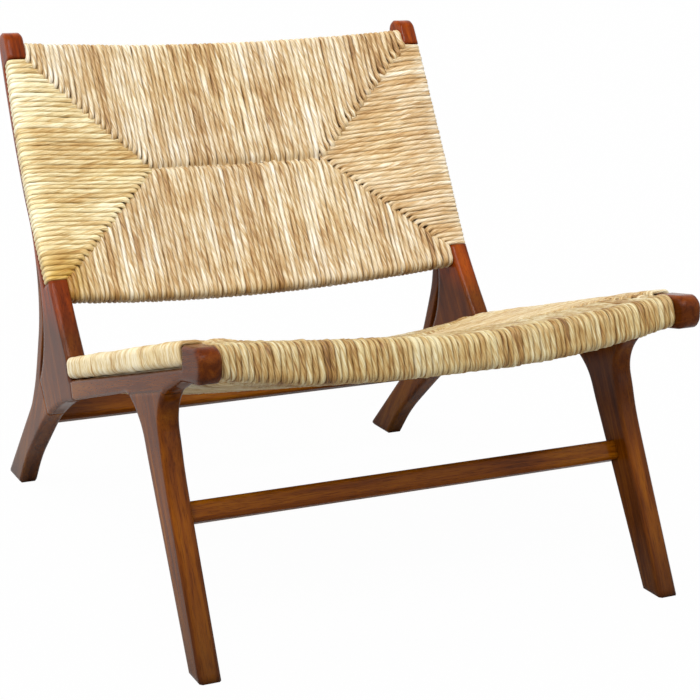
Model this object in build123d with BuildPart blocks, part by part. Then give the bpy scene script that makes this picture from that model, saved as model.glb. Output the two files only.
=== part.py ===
"""Low lounge chair with two sawn side frames and a hand-woven rush seat and back.

Axes: +X to the sitter's left, +Y towards the back of the chair, +Z up.
The origin is on the floor, in the middle of the bounding box.

Each side frame is one flat outline of solid timber, cut at its joints into a front leg,
a side rail, a back post and a rear leg.  The rail and the post are slotted planks: a slim
bar is left standing over a long recess, and the rush is wound round that bar.  Four sawn,
bowed rails join the frames and carry the rest of the weave, with two plain stretchers.
"""
from build123d import *
import os
from math import radians, degrees, sin, cos, atan2

os.makedirs("parts", exist_ok=True)

# ------------------------------------------------------------------ driving sizes (mm)
overall_width = 660         # across the outer faces of the two side frames
frame_thickness = 27        # timber of the side frames
edge_bevel = 3              # softened edges all round the side frames
heel_radius = 5             # rounding of the heels of the rear feet
knob_front_radius = 20      # rounding of the knob above the back
knob_rear_radius = 15
nose_radius = 17            # rounding of the nose in front of the seat
inside_radius = 5           # small corners at the ends of the recesses

seat_pitch = 15.5           # the seat falls towards the back (degrees)
seat_front = (-384, 369)    # front end of the side rail's top, in side view (Y, Z)
seat_recess = 485           # length of the recess in the side rail
rail_depth = 24.5           # side rail under the recess
rail_end = 479              # where the side rail meets the back post

back_rake = 29.9            # the back leans from upright (degrees)
back_foot = (166, 363)      # lower end of the recess in the back post (Y, Z)
back_recess = 339           # length of the recess in the back post
back_bow = 5                # the post is bowed to the rear by this much
recess_floor = 32           # depth of that recess behind the front edge
knob_rise = 33.122          # flat top of the knob over the recess's upper end, 690 over the floor
knob_behind = 20.0127       # front of that top behind the recess's upper end
knob_width = 36

bar_width = 17              # slim bar across the frame's thickness
bar_depth = 14              # slim bar in side view
cord = 8                    # rush cord wound over the bars and rails
weave_gap = 1.5             # clear space between the weave and the timber under it

seat_rail_height = 27       # bowed rails of the seat
seat_rail_width = 26
seat_rail_sag = 26
seat_rail_lift = 4.5        # their centres stand this far over the rail-top line
front_rail_along = -30      # places of the bowed rails along the seat line
rear_rail_along = seat_recess + 29

back_rail_height = 23       # bowed rails of the back
back_rail_depth = 18
back_rail_bow = 33
back_rail_behind = 17       # their centres stand this far behind the front edge
top_rail_up = back_recess + 12      # places of the bowed rails along the back line
bottom_rail_up = -13.5
rail_edge_bevel = 5

front_stretcher_at = (-300.5, 165.5)
front_stretcher_size = (22, 26)     # across the leg, along the leg
front_stretcher_tilt = 29
rear_stretcher_at = (257, 148)
rear_stretcher_size = (22, 34)
rear_stretcher_tilt = 30
stretcher_edge = 3

tenon_length = 18           # every tenon into the inner face of a frame
end_gap = 1                 # free space at the bottom of a mortise or dowel hole
fit_clearance = 0.1         # clearance on each side of a tenon or a dowel
dowel_diameter = 9
tail_dowel_diameter = 6

# ------------------------------------------------------------------ derived sizes
frame_inner = overall_width / 2 - frame_thickness
frame_middle = overall_width / 2 - frame_thickness / 2
bar_lift = weave_gap + cord             # underside of the seat's bar over the rail
weave_half = bar_width / 2 + cord       # half width of the weave wound on a bar
weave_edge = frame_inner - 0.5          # the flat weave stops clear of the frames
sides = {"left": 1, "right": -1}

_cs, _ss = cos(radians(seat_pitch)), sin(radians(seat_pitch))
_cb, _sb = cos(radians(back_rake)), sin(radians(back_rake))


def seat_point(along, above):
    """Side-view point (Y, Z) from a length along the seat line and a height over it."""
    return (seat_front[0] + along * _cs + above * _ss, seat_front[1] - along * _ss + above * _cs)


def back_point(up, behind):
    """Side-view point (Y, Z) from a length up the back line and a depth behind it."""
    return (back_foot[0] + up * _sb + behind * _cb, back_foot[1] + up * _cb - behind * _sb)


def seat_section(along):
    """Plane square to the seat line: local x across the chair, local y out of the seat."""
    y, z = seat_point(along, 0)
    return Plane(origin=(0, y, z), x_dir=(1, 0, 0), z_dir=(0, -_cs, _ss))


def back_section(up):
    """Plane square to the back line: local x across the chair, local y to the rear."""
    y, z = back_point(up, 0)
    return Plane(origin=(0, y, z), x_dir=(1, 0, 0), z_dir=(0, _sb, _cb))


def side_plane(x):
    """Side-view plane at one station across the chair."""
    return Plane(origin=(x, 0, 0), x_dir=(0, 1, 0), z_dir=(1, 0, 0))


def arcs_through(points, start, end):
    """Smooth chain of circular arcs through side-view points, two between each pair.

    The tangent at a middle point is that of the circle through it and its neighbours.
    Each pair of arcs meets where both are as long as their tangents allow.
    """
    points = [Vector(*p) for p in points]
    turn = [Vector(*start).normalized()]
    for before, here, after in zip(points, points[1:], points[2:]):
        a, b = here - before, after - here
        turn.append((a / a.length ** 2 + b / b.length ** 2).normalized())
    turn.append(Vector(*end).normalized())
    for first, last, leave, arrive in zip(points, points[1:], turn, turn[1:]):
        run, both, bend = last - first, leave + arrive, 2 * (1 - leave.dot(arrive))
        reach = run.dot(both)
        arm = (((reach ** 2 + bend * run.dot(run)) ** 0.5 - reach) / bend if bend > 1e-6
               else run.dot(run) / (2 * reach))
        meet = (first + last + (leave - arrive) * arm) / 2
        TangentArc(first, meet, tangent=leave)
        TangentArc(meet, last, tangent=(last - arrive * arm) - (first + leave * arm))


def corner(sketch, point):
    """The sketch vertex nearest to a side-view point."""
    return min(sketch.vertices(), key=lambda v: (v.X - point[0]) ** 2 + (v.Y - point[1]) ** 2)


def long_edges(part, low, high):
    """Edges that run across the chair between two stations."""
    return [e for e in part.edges()
            if e.bounding_box().size.X > 0.9 * (high - low)]


# ------------------------------------------------------------------ side-view outline
front_foot_front = (-424, 0)
front_foot_back = (-381.5, 0)
rear_foot_front = (387, 0)
rear_foot_back = (455, 0)
nose_top = (-446, 405)
nose_bottom = (-446, 363)
recess_corner = seat_point(seat_recess, 31)
seat_rear = seat_point(seat_recess, 0)
nose_rear = seat_point(-5, 26)
back_top = back_point(back_recess, 0)
knob_front = (back_top[0] + knob_behind, back_top[1] + knob_rise)
knob_rear = (knob_front[0] + knob_width, knob_front[1])
post_shoulder = (knob_rear[0] - 4, knob_rear[1] - 26)     # where the post's rear edge turns upright

with BuildSketch(Plane.XY) as frame_outline:
    with BuildLine() as outline:
        Line(front_foot_front, front_foot_back)
        Line(front_foot_back, (-258, 213))
        arcs_through([(-258, 213), (-222, 266), (-175, 286), (-145, 279.5)],
                     (125, 213), (185, -55.9))
        Line((-145, 279.5), (40, 223.6))
        arcs_through([(40, 223.6), (138, 191), (212, 152.5), (289, 95), (345, 47.5),
                      rear_foot_front], (185, -55.9), (42, -50))
        Line(rear_foot_front, rear_foot_back)
        Line(rear_foot_back, (303, 144.3))
        arcs_through([(303, 144.3), (275, 182), (249, 240), (230, 305), (230.5, 350), (242, 395.5),
                      (296, 481.5), (344, 568), post_shoulder], (-152, 144.3), (30, 80))
        Line(post_shoulder, knob_rear)
        Line(knob_rear, knob_front)
        Line(knob_front, back_top)
        ThreePointArc(back_top, back_point(back_recess / 2, back_bow), back_foot)
        arcs_through([back_foot, (128, 313), recess_corner], (-0.56, -0.83), (-0.62, -0.78))
        Line(recess_corner, seat_rear)
        Line(seat_rear, seat_front)
        Line(seat_front, nose_rear)
        Line(nose_rear, nose_top)
        Line(nose_top, nose_bottom)
        Line(nose_bottom, (-386, 353.5))
        arcs_through([(-386, 353.5), (-345, 337), (-315, 320), (-298, 293), (-308, 243),
                      (-330, 190)], (60, -9.5), (-94, -190))
        Line((-330, 190), front_foot_front)
    make_face()
    fillet(corner(frame_outline, rear_foot_back), heel_radius)
    fillet(corner(frame_outline, knob_rear), knob_rear_radius)
    fillet(corner(frame_outline, knob_front), knob_front_radius)
    fillet([corner(frame_outline, nose_top), corner(frame_outline, nose_bottom)], nose_radius)
    fillet([corner(frame_outline, p) for p in
            (nose_rear, seat_front, seat_rear, recess_corner)], inside_radius)

with BuildPart() as frame_blank:
    with BuildSketch(side_plane(-frame_thickness / 2)):
        add(frame_outline.sketch)
    extrude(amount=frame_thickness)
    faces_x = frame_blank.faces().sort_by(Axis.X)
    chamfer([e for e in faces_x[0].edges() + faces_x[-1].edges()
            if e.bounding_box().max.Z > 2 * heel_radius], edge_bevel)     # the soles are cut square


# ------------------------------------------------------------------ joint lines of the frame
joint_low = (196, 152)          # the post and the rear leg part here, under the frame
joint_turn = (238, 203)
joint_rise = ((214, 243), (206, 285), (211, 332), (228, 372))
joint_end = (249, 367)          # the tail ends blunt against the post
slit_back = ((222, 247), (205.5, 294))      # rear edge of the narrow slit
all_through = 2 * frame_thickness


def region(points):
    """A thick slab over a side-view polygon, wide enough to hold a whole frame."""
    with BuildPart() as slab:
        with BuildSketch(side_plane(-all_through / 2)):
            with BuildLine():
                Polyline(*points, close=True)
            make_face()
        extrude(amount=all_through)
    return slab.part


leg_joint = (80, 208)           # ends of the leg's seat on the rail, blunt and not feathered
rail_region = region([
    seat_point(-90, 60), seat_point(rail_end, 60), seat_point(rail_end, -60),
    seat_point(leg_joint[1], -60), seat_point(leg_joint[1], -rail_depth),
    seat_point(leg_joint[0], -rail_depth), seat_point(leg_joint[0], -40), seat_point(-90, -40)])
leg_region = region([
    seat_point(leg_joint[0], -rail_depth), seat_point(leg_joint[1], -rail_depth),
    seat_point(leg_joint[1], -120), (-300, -20), (-460, -20), seat_point(30, -120),
    seat_point(leg_joint[0], -60)])
ahead_region = region([
    seat_point(-100, 200), seat_point(rail_end, 200), seat_point(rail_end, -300),
    seat_point(-100, -400)])

with BuildPart() as behind_region:
    with BuildSketch(side_plane(-all_through / 2)):
        with BuildLine():
            Line(joint_low, joint_turn)
            arcs_through([joint_turn, *joint_rise], (-36, 42), (22, 40))
            Polyline(joint_rise[-1], joint_end, (320, 360), (520, 200), (520, -20), (300, -20),
                     (150, 60), joint_low)
        make_face()
    extrude(amount=all_through)

with BuildPart() as slit_region:
    with BuildSketch(side_plane(-all_through / 2)):
        with BuildLine():
            ThreePointArc(joint_turn, *slit_back)
            Polyline(slit_back[-1], (150, slit_back[-1][1]), (150, joint_turn[1]), joint_turn)
        make_face()
    extrude(amount=all_through)


# ------------------------------------------------------------------ pins, tenons and holes
def pin(start, toward, length, diameter, x=0, hole=False):
    """Round pin in side view from a start point toward another; with hole, its socket."""
    step = (toward[0] - start[0], toward[1] - start[1])
    grow = fit_clearance if hole else 0
    long = length + (end_gap if hole else 0)
    with BuildPart() as body:
        with BuildSketch(Plane(origin=(x, *start), x_dir=(1, 0, 0), z_dir=(0, *step))):
            Circle(diameter / 2 + grow)
        extrude(amount=long)
    return body.part


def cross_tenon(centre, size, tilt, side, hole=False):
    """Tenon from the inner face of a frame outwards; with hole, its mortise.

    A size of one number is a round tenon, of two numbers a flat one.
    """
    sign = sides[side]
    grow = fit_clearance if hole else 0
    long = tenon_length + (end_gap if hole else 0)
    turn = Plane(origin=(sign * frame_inner, *centre), x_dir=(0, cos(tilt), -sin(tilt)),
                 z_dir=(sign, 0, 0))
    with BuildPart() as body:
        with BuildSketch(turn):
            if isinstance(size, tuple):
                Rectangle(size[0] + 2 * grow, size[1] + 2 * grow)
            else:
                Circle(size / 2 + grow)
        extrude(amount=long)
    return body.part


front_rail_at = seat_point(front_rail_along, seat_rail_lift)
rear_rail_at = seat_point(rear_rail_along, seat_rail_lift)
top_rail_at = back_point(top_rail_up, back_rail_behind)
bottom_rail_at = back_point(bottom_rail_up, back_rail_behind)

cross_tenons = {        # place in side view, size, turn
    "seat_front_rail": (front_rail_at, 15, 0),
    "seat_rear_rail": (rear_rail_at, 13, 0),
    "back_top_rail": (top_rail_at, 11, 0),
    "back_bottom_rail": (bottom_rail_at, 12, 0),
    "front_stretcher": (front_stretcher_at, (12, 14), radians(front_stretcher_tilt)),
    "rear_stretcher": (rear_stretcher_at, (12, 24), radians(rear_stretcher_tilt)),
}

# pins inside one frame: start, a point toward which they run, length, diameter
leg_pin_under = 22
leg_pin_over = 17
leg_pins = [(seat_point(a, -rail_depth - leg_pin_under), seat_point(a, 0),
             leg_pin_under + leg_pin_over, dowel_diameter) for a in (130, 175)]
joint_angle = atan2(joint_turn[1] - joint_low[1], joint_turn[0] - joint_low[0])
square = (sin(joint_angle), -cos(joint_angle))
post_pin_half = 22
post_pins = [((x - post_pin_half * square[0], z - post_pin_half * square[1]), (x, z),
              2 * post_pin_half, dowel_diameter) for x, z in ((211, 170), (227, 190))]
tail_pins = [((195, 330), (223, 330), 28, tail_dowel_diameter)]


def sockets(pins):
    """The holes for a list of pins, each a little longer at both ends."""
    cut = []
    for start, toward, length, diameter in pins:
        run = ((toward[0] - start[0]) ** 2 + (toward[1] - start[1]) ** 2) ** 0.5
        back = end_gap / run
        first = (start[0] - (toward[0] - start[0]) * back, start[1] - (toward[1] - start[1]) * back)
        cut.append(pin(first, toward, length + end_gap, diameter, hole=True))
    return cut


# ------------------------------------------------------------------ slotted planks
bar_edge = 3
rail_tenon = (9, 18, 18)        # across, high, long: side rail into the back post
rail_tenon_above = -4.5         # top of that tenon under the rail-top line
bar_pin = 9                     # round end of the seat's bar, into the post
bar_pin_length = 14


def frame_block(along, above, width, grow=0):
    """Block between two lengths along the seat line and two heights over it."""
    with BuildPart() as block:
        with BuildSketch(side_plane(-width / 2 - grow)):
            with BuildLine():
                Polyline(seat_point(along[0], above[0] - grow), seat_point(along[1], above[0] - grow),
                         seat_point(along[1], above[1] + grow), seat_point(along[0], above[1] + grow),
                         close=True)
            make_face()
        extrude(amount=width + 2 * grow)
    return block.part


tenon_heights = (rail_tenon_above - rail_tenon[1], rail_tenon_above)
seat_bar_middle = bar_lift + bar_depth / 2
bar_end = seat_point(seat_recess, seat_bar_middle)
bar_tip = seat_point(seat_recess + bar_pin_length, seat_bar_middle)

leg_sockets = sockets(leg_pins)
rear_sockets = sockets(post_pins + tail_pins)
rail_tenon_block = frame_block((rail_end - 4, rail_end + rail_tenon[2]), tenon_heights,
                               rail_tenon[0])
rail_mortise = frame_block((rail_end - 1, rail_end + rail_tenon[2] + end_gap), tenon_heights,
                           rail_tenon[0], fit_clearance)
bar_block = frame_block((-10, seat_recess), (bar_lift, bar_lift + bar_depth), bar_width)
bar_round = pin(seat_point(seat_recess - 4, seat_bar_middle), bar_tip, bar_pin_length + 4, bar_pin)
bar_socket = pin(seat_point(seat_recess - 1, seat_bar_middle), bar_tip, bar_pin_length + 1,
                 bar_pin, hole=True)

with BuildPart() as seat_bar:
    add(bar_block)
    chamfer([e for e in seat_bar.edges() if e.length > 0.9 * seat_recess], bar_edge)

with BuildPart() as side_rail_shape:
    add(frame_blank.part)
    add(rail_region, mode=Mode.INTERSECT)
    add(rail_tenon_block)
    for hole in leg_sockets:
        add(hole, mode=Mode.SUBTRACT)
    add(seat_bar.part)
    add(bar_round)

with BuildPart() as front_leg_shape:
    add(frame_blank.part)
    add(leg_region, mode=Mode.INTERSECT)
    for hole in leg_sockets:
        add(hole, mode=Mode.SUBTRACT)

with BuildPart() as rear_leg_shape:
    add(frame_blank.part)
    add(behind_region.part, mode=Mode.INTERSECT)
    add(slit_region.part, mode=Mode.SUBTRACT)
    for hole in rear_sockets:
        add(hole, mode=Mode.SUBTRACT)


def bowed_strip(low, high, front, rear, x_low, x_high):
    """Strip along the back line between two bowed faces and two stations across."""
    mid = back_recess / 2
    with BuildPart() as strip:
        with BuildSketch(side_plane(x_low)):
            with BuildLine():
                Line(back_point(low, front), back_point(low, rear))
                ThreePointArc(back_point(low, rear), back_point(mid, rear + back_bow),
                              back_point(high, rear))
                Line(back_point(high, rear), back_point(high, front))
                ThreePointArc(back_point(high, front), back_point(mid, front + back_bow),
                              back_point(low, front))
            make_face()
        extrude(amount=x_high - x_low)
    return strip.part


back_slot = bowed_strip(0, back_recess, -30, recess_floor, -all_through / 2, all_through / 2)
back_bar_block = bowed_strip(-6, back_recess + 6, cord, cord + bar_depth,
                             -bar_width / 2, bar_width / 2)
with BuildPart() as back_bar:
    add(back_bar_block)
    chamfer([e for e in back_bar.edges() if e.length > 0.9 * back_recess], bar_edge)

with BuildPart() as back_post_shape:
    add(frame_blank.part)
    add(behind_region.part, mode=Mode.SUBTRACT)
    add(ahead_region, mode=Mode.SUBTRACT)
    add(back_slot, mode=Mode.SUBTRACT)
    add(back_bar.part)
    add(rail_mortise, mode=Mode.SUBTRACT)
    add(bar_socket, mode=Mode.SUBTRACT)
    for hole in rear_sockets:
        add(hole, mode=Mode.SUBTRACT)

# ------------------------------------------------------------------ left and right frames
frame_pieces = {        # shape, and the cross pieces that are let into it
    "back_post": (back_post_shape.part, ("seat_rear_rail", "back_top_rail", "back_bottom_rail")),
    "rear_leg": (rear_leg_shape.part, ("rear_stretcher",)),
    "side_rail": (side_rail_shape.part, ("seat_front_rail",)),
    "front_leg": (front_leg_shape.part, ("front_stretcher",)),
}
frame_x = frame_inner + frame_thickness / 2
for side, sign in sides.items():
    for name, (shape, let_in) in frame_pieces.items():
        mortises = [cross_tenon(*cross_tenons[cross], side, hole=True) for cross in let_in]
        with BuildPart() as piece:
            with Locations((sign * frame_x, 0, 0)):
                add(shape)
            for mortise in mortises:
                add(mortise, mode=Mode.SUBTRACT)
        piece.part.label = name + "_" + side
        export_step(piece.part, "parts/" + name + "_" + side + ".step")

for name, pins in (("front_leg_dowels", leg_pins), ("post_dowels", post_pins),
                   ("tail_dowels", tail_pins)):
    bodies = [pin(*one, x=sign * frame_x) for sign in sides.values() for one in pins]
    with BuildPart() as group:
        for body in bodies:
            add(body)
    group.part.label = name
    export_step(group.part, "parts/" + name + ".step")


# ------------------------------------------------------------------ rails and stretchers
def bowed_slab(plane, half, low, high, bow, length, low_bow=None):
    """Slab across the chair whose lower and upper faces are bowed the same way."""
    low_bow = bow if low_bow is None else low_bow
    with BuildPart() as slab:
        with BuildSketch(plane):
            with BuildLine():
                Line((-half, low), (-half, high))
                ThreePointArc((-half, high), (0, high + bow), (half, high))
                Line((half, high), (half, low))
                ThreePointArc((half, low), (0, low + low_bow), (-half, low))
            make_face()
        extrude(amount=length)
    return slab.part


def with_tenons(name, body, bevel):
    """Softened cross piece with a tenon at each end, as one solid, written to its file."""
    tenons = [cross_tenon(*cross_tenons[name], side) for side in sides]
    with BuildPart() as whole:
        add(body)
        chamfer([e for e in whole.edges() if e.bounding_box().size.X > frame_inner], bevel)
        for tenon in tenons:
            add(tenon)
    whole.part.label = name
    export_step(whole.part, "parts/" + name + ".step")
    return whole.part


seat_low = seat_rail_lift - seat_rail_height / 2
seat_high = seat_rail_lift + seat_rail_height / 2
back_low = back_rail_behind - back_rail_depth / 2
back_high = back_rail_behind + back_rail_depth / 2
timber = {}
for name, along in (("seat_front_rail", front_rail_along), ("seat_rear_rail", rear_rail_along)):
    timber[name] = with_tenons(name, bowed_slab(
        seat_section(along + seat_rail_width / 2), frame_inner, seat_low, seat_high,
        -seat_rail_sag, seat_rail_width), rail_edge_bevel)
for name, up in (("back_top_rail", top_rail_up), ("back_bottom_rail", bottom_rail_up)):
    timber[name] = with_tenons(name, bowed_slab(
        back_section(up - back_rail_height / 2), frame_inner, back_low, back_high,
        back_rail_bow, back_rail_height), rail_edge_bevel)

for name, size in (("front_stretcher", front_stretcher_size),
                   ("rear_stretcher", rear_stretcher_size)):
    centre, tenon_size, tilt = cross_tenons[name]
    with BuildPart() as bar:
        with BuildSketch(Plane(origin=(-frame_inner, *centre), x_dir=(0, cos(tilt), -sin(tilt)),
                               z_dir=(1, 0, 0))):
            Rectangle(*size)
        extrude(amount=2 * frame_inner)
    with_tenons(name, bar.part, stretcher_edge)

# ------------------------------------------------------------------ rush seat and back
weave_edge_bevel = 7
seat_roll = cord + seat_rail_width / 2      # half length of the roll round a seat rail
back_roll = cord + back_rail_height / 2
wrap_low = weave_gap
wrap_high = weave_gap + 2 * cord + bar_depth
front_roll_end = front_rail_along + seat_roll
rear_roll_start = rear_rail_along - seat_roll
outer = frame_x + weave_half                # outermost face of the rush on the bars
inner = frame_inner - 3                     # the wraps run into the flat weave here
middle_dip = -31                            # hollow of the seat's upper face between the rolls
under_dip = -45


def softened(body, outward, least):
    """Wrap round a bar with its long outer edges bevelled."""
    with BuildPart() as soft:
        add(body)
        side_faces = soft.faces().sort_by(Axis.X)
        edge_face = side_faces[-1] if outward > 0 else side_faces[0]
        chamfer([e for e in edge_face.edges() if e.length > least], weave_edge_bevel)
    return soft.part


def seat_wrap(sign):
    """Rush wound on one seat bar."""
    low, high = sorted((sign * inner, sign * outer))
    block = frame_block((1.5, seat_recess - 2), (wrap_low, wrap_high), high - low)
    with BuildPart() as moved:
        with Locations(((low + high) / 2, 0, 0)):
            add(block)
    return softened(moved.part, sign, 0.9 * seat_recess)


def back_wrap(sign):
    """Rush wound on one back bar."""
    low, high = sorted((sign * inner, sign * outer))
    strip = bowed_strip(1, back_recess - 1, 0, recess_floor - 1, low, high)
    return softened(strip, sign, 0.9 * back_recess)


def placed(body, x):
    with BuildPart() as moved:
        with Locations((x, 0, 0)):
            add(body)
    return moved.part


seat_bodies = [bowed_slab(seat_section(along + seat_roll), weave_edge, seat_low - cord,
                          seat_high + cord, -seat_rail_sag, 2 * seat_roll)
               for along in (front_rail_along, rear_rail_along)]
seat_bodies.append(bowed_slab(seat_section(rear_roll_start + 6), weave_edge, wrap_low + 1,
                              wrap_high - 1, middle_dip, rear_roll_start - front_roll_end + 12,
                              low_bow=under_dip))
seat_bodies += [seat_wrap(sign) for sign in sides.values()]
seat_inside = [timber["seat_front_rail"], timber["seat_rear_rail"]]
seat_inside += [placed(seat_bar.part, sign * frame_x) for sign in sides.values()]

back_bodies = [bowed_slab(back_section(bottom_rail_up - back_roll), weave_edge, back_low - cord,
                          back_high + cord, back_rail_bow,
                          top_rail_up - bottom_rail_up + 2 * back_roll)]
back_bodies += [back_wrap(sign) for sign in sides.values()]
back_inside = [timber["back_top_rail"], timber["back_bottom_rail"]]
back_inside += [placed(back_bar.part, sign * frame_x) for sign in sides.values()]

for name, bodies, inside in (("seat_weave", seat_bodies, seat_inside),
                             ("back_weave", back_bodies, back_inside)):
    with BuildPart() as weave:
        for body in bodies:
            add(body)
        for body in inside:
            add(body, mode=Mode.SUBTRACT)
    weave.part.label = name
    export_step(weave.part, "parts/" + name + ".step")
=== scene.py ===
"""Dresses a low lounge chair: dark lacquered timber frames, and a seat and back of wound rush cord.

Everything is in metres, in the chair's own frame: +X to the sitter's left, +Y to the back, +Z up.
The seat and the back are each laid out on a sheet of their own, with x across the chair, y along
the seat or up the back, and h out of it towards the sitter.
"""
import math
from functools import partial
from typing import Callable, NamedTuple

import bpy
import numpy as np
from mathutils import Euler, Matrix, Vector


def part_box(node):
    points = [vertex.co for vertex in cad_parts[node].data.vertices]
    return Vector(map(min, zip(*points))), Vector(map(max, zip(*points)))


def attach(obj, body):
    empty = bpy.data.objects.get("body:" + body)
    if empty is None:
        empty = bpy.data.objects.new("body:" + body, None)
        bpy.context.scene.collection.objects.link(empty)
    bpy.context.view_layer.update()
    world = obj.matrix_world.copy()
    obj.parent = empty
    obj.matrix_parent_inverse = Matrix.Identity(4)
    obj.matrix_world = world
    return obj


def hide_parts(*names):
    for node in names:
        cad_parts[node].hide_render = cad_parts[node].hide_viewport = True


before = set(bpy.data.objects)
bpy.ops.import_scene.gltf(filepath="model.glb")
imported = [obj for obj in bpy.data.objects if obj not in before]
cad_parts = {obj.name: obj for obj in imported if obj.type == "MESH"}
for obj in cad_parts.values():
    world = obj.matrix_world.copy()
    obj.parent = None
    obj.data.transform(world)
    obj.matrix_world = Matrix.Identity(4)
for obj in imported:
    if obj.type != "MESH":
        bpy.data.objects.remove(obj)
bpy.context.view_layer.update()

bl_info = {
    "name": "Rush lounge chair",
    "version": (1, 0, 0),
    "blender": (4, 5, 0),
    "location": "View3D > Sidebar > Chair",
    "description": "Timber finish, rush seat and back, and a studio for a low lounge chair",
    "category": "Object",
}

SEED = 7
HALF_INSIDE = round(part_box("side_rail_left")[0][0], 4)      # inner faces of the two side frames
SEAT_PITCH = 15.5           # the seat falls towards the back, degrees
SEAT_LENGTH = 0.485         # recess in a side rail, under its slim bar
BACK_RAKE = 29.9            # the back leans from upright, degrees
BACK_LENGTH = 0.339         # recess in a post, behind its slim bar
LACQUER_RUN = (-0.304, 0.160, 0.364)    # foot of the right post's bar, where lacquer has run


# ------------------------------------------------------------------ the two woven sheets
class Sheet:
    """Where a woven sheet lies: its origin (Y, Z) and the angle its y axis makes with +Y."""

    def __init__(self, origin, angle):
        cosine, sine = math.cos(angle), math.sin(angle)
        self.origin = np.array([0.0, *origin])
        self.along = np.array([0.0, cosine, sine])
        self.out = np.array([0.0, -sine, cosine])

    def place(self, x, y, h):
        """Points origin + x X + y along + h out, for whole arrays."""
        x, y, h = np.broadcast_arrays(x, y, h)
        point = self.origin + y[..., None] * self.along + h[..., None] * self.out
        point[..., 0] += x
        return point


SEAT = Sheet((-0.384, 0.369), math.radians(-SEAT_PITCH))        # along the side rails' tops
BACK = Sheet((0.166, 0.363), math.radians(90 - BACK_RAKE))      # up the posts' front edges


def smooth(value, low, high):
    """Cubic ease from 0 at low to 1 at high."""
    t = np.clip((value - low) / (high - low), 0, 1)
    return t * t * (3 - 2 * t)


def bow(x, power=2.0):
    """1 on the chair's middle plane and 0 at the frames: 1 - |x / half|^power."""
    return 1 - np.clip(np.abs(x) / HALF_INSIDE, 0, 1) ** power


def over_bars(x, y, near, far, reach):
    """1 over the side bars and where their cords lead in, 0 along the two rails.

    Along the sheet it eases up between the two places of `near` and down between those of `far`.
    Across the chair it eases down from the frames to 0 at `reach` from the middle.
    """
    along = smooth(y, *near) * (1 - smooth(y, *far))
    return np.where(np.abs(x) > HALF_INSIDE, 1.0, along * smooth(np.abs(x), reach, HALF_INSIDE))


SEAT_LEAD_IN = (-0.015, 0.05), (SEAT_LENGTH - 0.05, SEAT_LENGTH + 0.008)
BACK_LEAD_IN = (0.0, 0.03), (BACK_LENGTH - 0.03, BACK_LENGTH)
BACK_HOLLOW = 0.033         # bow of the back's two rails
POST_BOW = 0.005


def seat_top(x, y):
    """Cord centres on the seat: 20.5 mm up at the rails' ends, as much sag, 27.5 mm up on the bars.

    A sine across the chair tips the sag to one side, as worn rush does.
    """
    rail_high, bar_higher, tip = 0.0205, 0.007, 0.0016
    lean = tip * np.sin(np.pi * np.clip(x / HALF_INSIDE, -1, 1))
    side = over_bars(x, y, *SEAT_LEAD_IN, reach=0.12)
    return rail_high - rail_high * bow(x, power=1.3) - lean + bar_higher * side


def seat_under(x, y):
    """Cord centres under the seat: the rails' undersides, rising into the slots at the sides."""
    rail_low, sag, bar_high = -0.0127, 0.0265, 0.0055
    side = over_bars(x, y, *SEAT_LEAD_IN, reach=0.255)
    return (1 - side) * (rail_low - sag * bow(x, power=2.5)) + side * bar_high


def post_bow(x, y):
    """The posts' bow to the rear, a parabola up the back that fades towards the chair's middle."""
    rise = 1 - np.clip(np.abs(y - BACK_LENGTH / 2) / (BACK_LENGTH / 2), 0, 1) ** 2
    return POST_BOW * rise * (1 - bow(x))


def back_front(x, y):
    """Cord centres on the sitter's side of the back, 4 mm behind the front edge at the frames."""
    return -(0.004 + BACK_HOLLOW * bow(x) + post_bow(x, y))


def back_rear(x, y):
    """Cord centres behind the back: 30 mm behind the front edge on the rails, 26 mm on the bars."""
    rail_behind, bar_nearer = 0.030, 0.004
    side = over_bars(x, y, *BACK_LEAD_IN, reach=0.25)
    return -(rail_behind - bar_nearer * side + BACK_HOLLOW * bow(x) + post_bow(x, y))


class Weave(NamedTuple):
    """One woven sheet, the solid it stands for and what its cords are wound over."""
    node: str
    sheet: Sheet
    sectors: tuple          # names: over the far rail, the near rail, the left bar, the right bar
    low: float              # along the sheet, a bar's cords lie from low to high
    high: float
    rail_ends: tuple        # outermost cord centres along the sheet, past the far and near rails
    bar_end: float          # outermost cord centres across the chair, past a bar
    rail_corners: tuple     # radii of a cord's turns at the top and the underside of a rail
    bar_corners: tuple      # the same two radii at a bar
    top: Callable           # heights of the cords' centres on the sitter's side
    under: Callable         # and on the far side
    pad: tuple              # start and end of the stuffing along the sheet


BACK_WEAVE = Weave(
    "back_weave", BACK, ("back_rush_top", "back_rush_bottom", "back_rush_left", "back_rush_right"),
    low=0.001, high=0.338, rail_ends=(0.3675, -0.0295), bar_end=0.329,
    rail_corners=(0.0075, 0.0095), bar_corners=(0.005, 0.007),
    top=back_front, under=back_rear, pad=(0.002, 0.336))
SEAT_WEAVE = Weave(
    "seat_weave", SEAT, ("seat_rush_rear", "seat_rush_front", "seat_rush_left", "seat_rush_right"),
    low=0.0015, high=0.483, rail_ends=(0.531, -0.047), bar_end=0.329,
    rail_corners=(0.012, 0.009), bar_corners=(0.006, 0.006),
    top=seat_top, under=seat_under, pad=(-0.012, 0.496))


class Lay(NamedTuple):
    """How the cords of a rail or of a bar are shaped and end, in metres or in cords."""
    across: bool            # the row of cords runs across the chair
    past_over: float        # metres past a mitre where they lie over the others
    past_under: float       # metres past a mitre where they lie under the others
    past_spread: float
    lead: float             # cords sideways, where they lie over the others
    lead_spread: float      # metres
    bend: float             # cords of length over which the lead builds up
    flat: float             # height of a cord's section, in cords


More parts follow.
